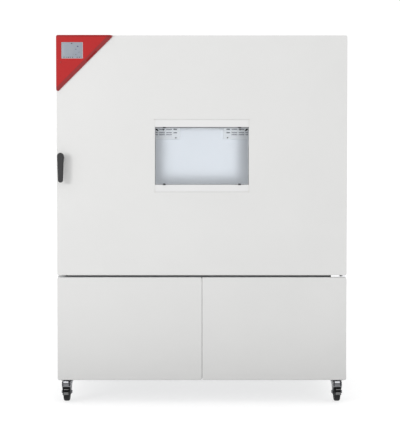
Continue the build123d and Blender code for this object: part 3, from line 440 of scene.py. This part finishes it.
for mx, mz, w, h, a in ((107.0, 105.5, 5.5, 3.6, 0.0), (124.5, 93.0, 12.0, 1.4, -20.0), (95.0, 104.0, 4.0, 2.0, 0.0)):
    x, z = px_to_fascia(mx, mz)
    add_box(marks, x - w / 2000, x + w / 2000, -0.5586, -0.5580, z - h / 2000, z + h / 2000, r=0.0002, seg=1, rot=("Y", math.radians(a)))
obj_from("screen_marks_light", marks, MARK3, "door")

# Faces of the fascia that face down and right get a greyer red on the bevel (painted shade and sheen) and a darker red
# on the sides (painted shade).
fas = nodes["control_fascia"]
fas.data.materials.append(RED_BEVEL_SHADE)
fas.data.materials.append(RED_EDGE_SHADE)
for p in fas.data.polygons:
    n_ = p.normal
    if n_.x > 0.12 and n_.z < -0.12:
        p.material_index = 1 if n_.y < -0.6 else 2
# Dark red strip along the fascia's top edge: painted shade on that edge.
bm = bmesh.new()
add_box(bm, -0.7850, -0.4840, -0.5595, -0.5584, 1.9965, 2.0030, r=0.0004)
obj_from("fascia_top_edge_shade", bm, RED_EDGE_SHADE, "door")

# small flush cover in the round recess below the screen
bm = bmesh.new()
add_lathe(bm, [(0, -0.0012), (0.0040, -0.0012), (0.0048, -0.0008), (0.0052, 0.0), (0.0052, 0.0006), (0, 0.0006)], (-0.765, -0.55785, 1.857), "Y", 28, closed=False)
obj_from("fascia_service_plug", bm, surface("red_plug", rgb(170, 14, 15), 0.45, var=0.04, var_scale=90, grain=900, grain_strength=0.2, grain_dist=0.0001), "door")

# window panes: each one a face and its polished rim
bm = bmesh.new()
for hx, z0, z1, y0, t in ((0.262, 1.187, 1.515, -0.537, 0.006), (0.2552, 1.1943, 1.5077, -0.500, 0.004), (0.2552, 1.1943, 1.5077, -0.468, 0.004), (0.2552, 1.1943, 1.5077, -0.441, 0.004)):
    c = 0.0006
    loops = []
    for ins, y in ((c, y0), (0.0, y0 + c), (0.0, y0 + t - c)):
        loops.append([bm.verts.new((sx_ * (hx - ins), y, zz)) for sx_, zz in ((-1, z0 + ins), (1, z0 + ins), (1, z1 - ins), (-1, z1 - ins))])
    bm.faces.new(loops[0])
    for a_, b_ in zip(loops[:-1], loops[1:]):
        for i in range(4):
            bm.faces.new((a_[i], a_[(i + 1) % 4], b_[(i + 1) % 4], b_[i]))
panes = obj_from("window_glass_sheets", bm, GLASS, "door", smooth=0)
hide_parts("window_panes")

# ---------------------------------------------------------------- seal in the gap under the chamber door, its grey partly its own colour and partly painted shade of the gap
bm = bmesh.new()
add_box(bm, -0.740, 0.703, -0.5025, -0.462, 0.6902, 0.6975, r=0.0012)
for i in range(3):
    y = -0.494 + 0.012 * i
    add_box(bm, -0.739, 0.702, y - 0.0025, y + 0.0025, 0.6968, 0.6988, r=0.0008)
obj_from("door_sill_seal", bm, SILL_SEAL_SHADE, "cabinet")

bm = bmesh.new()
for s in (-1, 1):
    add_box(bm, s * 0.205 - 0.0072, s * 0.205 + 0.0072, -0.5492, -0.5470, 1.1922, 1.1988, r=0.0010)
obj_from("window_bumper_feet", bm, RUBBER, "door")

# light lip along the top of the sill seal, and a light strip between the service doors: both paint light into the shade
# of these gaps
bm = bmesh.new()
add_box(bm, -0.738, 0.701, -0.5034, -0.5022, 0.6942, 0.6968, r=0.0004, seg=1)
obj_from("door_sill_light_lip", bm, TRIM, "cabinet")
llo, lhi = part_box("service_door_left")
rlo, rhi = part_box("service_door_right")
gap = rlo[0] - lhi[0]
bm = bmesh.new()
add_box(bm, lhi[0] - 0.0004, lhi[0] + gap * 0.66, -0.5436, -0.5300, llo[2] + 0.006, lhi[2] - 0.006, r=0.0004, seg=1)
obj_from("service_door_gap_light_strip", bm, PAINT_LOW, "service_door_left")

# ---------------------------------------------------------------- chamber rear wall details
bm = bmesh.new()
add_box(bm, -0.1305, 0.1305, 0.1632, 0.1649, 1.518, 1.802, r=0.0005)
obj_from("baffle_upper_sheet", bm, BAFFLE, "cabinet")


def screw_head(bm, x, y, z, r=0.0042, h=0.0022, axis="Y", sgn=-1):
    prof = [(0, -h * 0.55), (r * 0.42, -h * 0.55), (r * 0.46, -h), (r * 0.86, -h * 0.82), (r, -h * 0.35), (r, 0.0), (0, 0.0)]
    add_lathe(bm, [(a, b * -sgn) for a, b in prof], (x, y, z), axis, 20, closed=False)


bm = bmesh.new()
for s in (-1, 1):
    for hx, hz in ((0.156, 1.4728), (0.558, 1.4728), (0.156, 1.755), (0.558, 1.755)):
        screw_head(bm, s * hx, 0.1545, hz, r=0.0047, h=0.0026, sgn=1)
obj_from("fan_cover_screws", bm, BLACK_DEEP, "cabinet")
bm = bmesh.new()
for s in (-1, 1):
    for bx_, bz_, w, a in ((0.2695, 1.5200, 0.017, 38), (0.2315, 1.5215, 0.008, 48)):
        add_box(bm, s * bx_ - w / 2, s * bx_ + w / 2, 0.1505, 0.1532, bz_ - 0.0042, bz_ + 0.0042, r=0.0012, rot=("Y", math.radians(-a * s)))
obj_from("fan_cover_clips", bm, BLACK_DEEP, "cabinet")
# Grey sheets behind the fan cover slots and grey bars in its slot rows: painted shade in the slots.
bm = bmesh.new()
for s in (-1, 1):
    add_box(bm, s * 0.351 - 0.2150, s * 0.351 + 0.2150, 0.1550, 0.1556, 1.4850, 1.5310, r=0.0002, seg=1)
SLOT_PAINTED_SHADE = surface("slot_shade", rgb(128, 130, 136), 0.5, var=0.05, var_scale=60.0, grain=900, grain_strength=0.2, grain_dist=0.0001)
obj_from("fan_cover_slot_shade_sheet", bm, SLOT_PAINTED_SHADE, "cabinet")
bm = bmesh.new()
for s in (-1, 1):
    for zz in (1.5240, 1.5030):
        add_box(bm, s * 0.1595 - 0.0090, s * 0.1595 + 0.0090, 0.1522, 0.1529, zz - 0.0022, zz + 0.0022, r=0.0003, seg=1)
obj_from("fan_cover_slot_shade_bars", bm, SLOT_PAINTED_SHADE, "cabinet")
bm = bmesh.new()
for s in (-1, 1):
    for z in (0.84, 1.10, 1.36, 1.78):
        screw_head(bm, s * 0.548, 0.1648, z, r=0.0045, h=0.0022, sgn=1)
for x in (-0.30, 0.0, 0.30):
    screw_head(bm, x, 0.1648, 0.828, r=0.0045, h=0.0022, sgn=1)
obj_from("baffle_screws", bm, STAINLESS, "cabinet")

# wire shelf as round bright wires
bm = bmesh.new()
Z = 0.985
for y in (-0.405, 0.115, -0.145):
    add_rod(bm, (-0.585, y, Z), (0.585, y, Z), 0.0040, 12)
for x in (-0.582, 0.582):
    add_rod(bm, (x, -0.405, Z), (x, 0.115, Z), 0.0040, 12)
for i in range(28):
    x = -0.540 + 0.040 * i
    add_rod(bm, (x, -0.407, Z + 0.0050), (x, 0.117, Z + 0.0050), 0.0020, 8)
shelf = obj_from("wire_shelf_rods", bm, CHROME, "cabinet")
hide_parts("wire_shelf")

# ---------------------------------------------------------------- casters
SWIVELS = {"fl": (-0.745, -0.445), "fr": (0.745, -0.445), "rl": (-0.745, 0.490), "rr": (0.745, 0.490)}
for k, (sx, sy) in SWIVELS.items():
    ay = sy - 0.035
    bm = bmesh.new()
    R, hw = 0.050, 0.016
    prof = [(0.0383, -hw + 0.0015), (0.0400, -hw), (0.0440, -hw), (0.0468, -hw + 0.0012), (0.0488, -hw + 0.0038), (0.0498, -hw + 0.0080)]
    groove = [(0.0500, -0.0062), (0.0494, -0.0058), (0.0494, -0.0050), (0.0500, -0.0046), (0.0500, 0.0046), (0.0494, 0.0050), (0.0494, 0.0058), (0.0500, 0.0062)]
    prof = prof + groove + [(r, -a) for r, a in reversed(prof)]
    add_lathe(bm, prof, (sx, ay, R), "X", 72)
    tyre = obj_from(f"tyre_{k}", bm, TYRE, f"caster_wheel_{k}")
    bm = bmesh.new()
    add_lathe(bm, [(0.0052, -0.0185), (0.0110, -0.0185), (0.0122, -0.0172), (0.0125, -0.0080), (0.0150, -0.0068), (0.0320, -0.0062), (0.0332, -0.0150), (0.0372, -0.0156), (0.0382, -0.0140),
                   (0.0382, 0.0140), (0.0372, 0.0156), (0.0332, 0.0150), (0.0320, 0.0062), (0.0150, 0.0068), (0.0125, 0.0080), (0.0122, 0.0172), (0.0110, 0.0185), (0.0052, 0.0185)], (sx, ay, R), "X", 64)
    core = obj_from(f"wheel_core_{k}", bm, WHEEL_CORE, f"caster_wheel_{k}")
    bm = bmesh.new()
    for i in range(8):
        t = 2 * math.pi * i / 8
        for s in (-1, 1):
            vs = add_box(bm, -0.0042, 0.0042, -0.0011, 0.0011, 0.0120, 0.0330, r=0.0005, seg=1)
            bmesh.ops.translate(bm, verts=vs, vec=(s * 0.0095, 0, 0))
            bmesh.ops.rotate(bm, verts=vs, cent=(0, 0, 0), matrix=Matrix.Rotation(t, 3, "X"))
            bmesh.ops.translate(bm, verts=vs, vec=(sx, ay, R))
    ribs = obj_from(f"wheel_ribs_{k}", bm, WHEEL_CORE, f"caster_wheel_{k}")
    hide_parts(f"caster_wheel_{k}")
    # bearing races between the plate and the fork crown
    bm = bmesh.new()
    add_lathe(bm, [(0.0262, 0.1183), (0.0318, 0.1183), (0.0326, 0.1172), (0.0330, 0.1150), (0.0342, 0.1146), (0.0342, 0.1126), (0.0325, 0.1120), (0.0262, 0.1120)], (sx, sy, 0.0), "Z", 56)
    obj_from(f"race_lower_{k}", bm, CHROME, f"caster_fork_{k}")
    bm = bmesh.new()
    for s in (-1, 1):
        add_lathe(bm, [(0, s * 0.0302), (0.0052, s * 0.0302), (0.0062, s * 0.0296), (0.0072, s * 0.0290), (0.0072, s * 0.0288), (0, s * 0.0288)], (sx, ay, R), "X", 24, closed=False)
    obj_from(f"axle_ends_{k}", bm, CHROME, f"caster_fork_{k}")
    # pressed flares of the fork, from the crown down into the legs, in a lighter zinc than the fork: painted highlight
    # of their lit sides
    bm = bmesh.new()
    for s in (-1, 1):
        layers = []
        for off in (0.0, 0.0014):
            rows = []
            for a in range(9):
                t = a / 8.0
                row = []
                for b in range(15):
                    phi = math.radians(-43.0 + 86.0 * b / 14.0)
                    top = 0.0329 * math.cos(phi)
                    x = 0.0232 + max(0.0002, top - 0.0232) * (1.0 - t) ** 1.35
                    row.append(bm.verts.new((sx + s * (x - off), sy + 0.0329 * math.sin(phi), 0.1108 - 0.0300 * t)))
                rows.append(row)
            layers.append(rows)
        A, B = layers
        for a in range(8):
            for b in range(14):
                bm.faces.new((A[a][b], A[a][b + 1], A[a + 1][b + 1], A[a + 1][b]))
                bm.faces.new((B[a][b], B[a + 1][b], B[a + 1][b + 1], B[a][b + 1]))
        for b in range(14):
            bm.faces.new((A[0][b], B[0][b], B[0][b + 1], A[0][b + 1]))
            bm.faces.new((A[8][b], A[8][b + 1], B[8][b + 1], B[8][b]))
        for a in range(8):
            bm.faces.new((A[a][0], A[a + 1][0], B[a + 1][0], B[a][0]))
            bm.faces.new((A[a][14], B[a][14], B[a + 1][14], A[a + 1][14]))
    bmesh.ops.recalc_face_normals(bm, faces=bm.faces)
    obj_from(f"fork_flares_lit_{k}", bm, FORK_FLARE_HIGHLIGHT, f"caster_fork_{k}")
    bm = bmesh.new()
    for bx_ in (-0.0272, 0.0272):
        for by_ in (-0.038, 0.038):
            add_lathe(bm, [(0, 0.1132), (0.0048, 0.1132), (0.0056, 0.1140), (0.0056, 0.1204), (0, 0.1204)], (sx + bx_, sy + by_, 0.0), "Z", 6, closed=False)
    obj_from(f"plate_nuts_{k}", bm, DARK_STEEL_AND_SHADE, "cabinet")
    if k[0] == "f":
        ped = nodes[f"brake_pedal_{k}"]
        # Pedal faces above 59 mm get a near-black: painted shade under the fork crown.
        ped.data.materials.append(PEDAL_TOP_SHADE)
        for p in ped.data.polygons:
            if p.center.z > 0.0590:
                p.material_index = 1
        # Light grey strips on the black pedal: painted highlights on the foot plate's top and bottom edges.
        bm = bmesh.new()
        for z, y, h in ((0.0724, -0.0625, 0.0020), (0.0560, -0.0697, 0.0022)):
            add_box(bm, sx - 0.0110, sx + 0.0150, ay + y - 0.0012, ay + y + 0.0024, z - h, z + h, r=0.0008)
        obj_from(f"pedal_ribs_highlight_{k}", bm, PEDAL_HIGHLIGHT, f"brake_pedal_{k}")
        bm = bmesh.new()
        add_box(bm, sx - 0.0120, sx + 0.0150, ay - 0.0722, ay - 0.0680, 0.0455, 0.0530, r=0.0012)
        obj_from(f"pedal_grip_highlight_{k}", bm, PEDAL_HIGHLIGHT, f"brake_pedal_{k}")
        # Dark bars on the fork front, at both sides and across it: painted shade on the fork.
        bm = bmesh.new()
        add_box(bm, sx - 0.0222, sx - 0.0160, ay - 0.0487, ay - 0.0474, 0.0890, 0.1112, r=0.0004)
        add_box(bm, sx + 0.0135, sx + 0.0222, ay - 0.0487, ay - 0.0474, 0.0890, 0.1112, r=0.0004)
        add_box(bm, sx - 0.0160, sx + 0.0135, ay - 0.0484, ay - 0.0474, 0.0995, 0.1045, r=0.0003)
        obj_from(f"fork_shade_plate_{k}", bm, DARK_STEEL_AND_SHADE, f"caster_fork_{k}")
        bm = bmesh.new()
        add_box(bm, sx - 0.0150, sx + 0.0120, ay - 0.0490, ay - 0.0474, 0.1050, 0.1158, r=0.0007)
        obj_from(f"fork_rim_{k}", bm, CHROME, f"caster_fork_{k}")

# ---------------------------------------------------------------- machine room dressing seen through the service doors
bm = bmesh.new()
for x in (-0.635, -0.435):
    add_lathe(bm, [(0, 0.0245), (0.0200, 0.0245), (0.0232, 0.0232), (0.0245, 0.0200), (0.0250, 0.0), (0.0, 0.0)], (x, -0.395, 0.4405), "Z", 40, closed=False)
    for i in range(20):
        t = 2 * math.pi * i / 20
        vs = add_box(bm, -0.0008, 0.0008, 0.0243, 0.0256, 0.002, 0.019, r=0.0003, seg=1)
        bmesh.ops.rotate(bm, verts=vs, cent=(0, 0, 0), matrix=Matrix.Rotation(t, 3, "Z"))
        bmesh.ops.translate(bm, verts=vs, vec=(x, -0.395, 0.4405))
obj_from("can_caps", bm, BLUE_CAP, "cabinet")

# ---------------------------------------------------------------- floor, light and camera
def sheet(name, z, mat):
    b = bmesh.new()
    bmesh.ops.create_grid(b, x_segments=24, y_segments=24, size=30.0)
    bmesh.ops.translate(b, verts=b.verts, vec=(0, 0, z))
    o = obj_from(name, b, mat, None, smooth=0)
    return o


floor = sheet("studio_floor", 0.0, FLOORM)
floor.visible_diffuse = False
FLOORB = surface("studio_floor_bounce", (0.70, 0.70, 0.70, 1.0), 0.8, var=0.01, var_scale=1.0, grain=60, grain_strength=0.03, grain_dist=0.0005, spec=0.1)
bounce = sheet("studio_floor_bounce", -0.004, FLOORB)
bounce.visible_camera = False
bounce.visible_glossy = False
FLAG = surface("studio_flag", (0.12, 0.12, 0.12, 1.0), 0.9, var=0.02, var_scale=3.0, grain=60, grain_strength=0.03, grain_dist=0.0005, spec=0.05)
bm = bmesh.new()
add_box(bm, -1.3, 1.3, -0.93, -0.50, -0.0035, -0.0020, r=0.0005, seg=1)
flag = obj_from("studio_flag", bm, FLAG, None, smooth=0)
flag.visible_camera = False
flag.visible_glossy = False

w = bpy.data.worlds.new("studio")
scene.world = w
w.use_nodes = True
bg = w.node_tree.nodes["Background"]
bg.inputs["Color"].default_value = (1.0, 1.0, 1.0, 1.0)
bg.inputs["Strength"].default_value = 1.045
scene.view_settings.view_transform = "Standard"
scene.view_settings.look = "None"


def area(name, loc, target, sx, sy, energy, color=(1, 1, 1), spread=180.0):
    l = bpy.data.lights.new(name, "AREA")
    l.shape = "RECTANGLE"
    l.size, l.size_y = sx, sy
    l.energy = energy
    l.color = color
    l.spread = math.radians(spread)
    o = bpy.data.objects.new(name, l)
    scene.collection.objects.link(o)
    o.location = loc
    d = Vector(target) - Vector(loc)
    o.rotation_euler = d.to_track_quat("-Z", "Y").to_euler()
    return o


area("key", (-4.6, -5.2, 2.1), (0.0, -0.5, 1.2), 1.3, 1.6, 99.0)
area("chamber_glow", (-0.005, 0.035, 1.391), (-0.005, 0.16, 1.391), 0.462, 0.318, 0.197, (0.93, 0.965, 1.0), 62.0)
area("chamber_fill", (0.0, -0.425, 1.33), (0.0, 0.16, 1.33), 1.0, 0.80, 1.85, (0.95, 0.975, 1.0), 150.0)

cam_d = bpy.data.cameras.new("camera")
cam = bpy.data.objects.new("camera", cam_d)
scene.collection.objects.link(cam)
cam_d.sensor_width = 36.0
cam_d.lens = 1175.0 / 425.0 * 36.0
cam_d.clip_end = 200.0
cam.location = (-0.0103, -6.945, 1.2375)
cam.rotation_euler = (math.radians(90.0 - 1.743), 0.0, 0.0)
scene.camera = cam
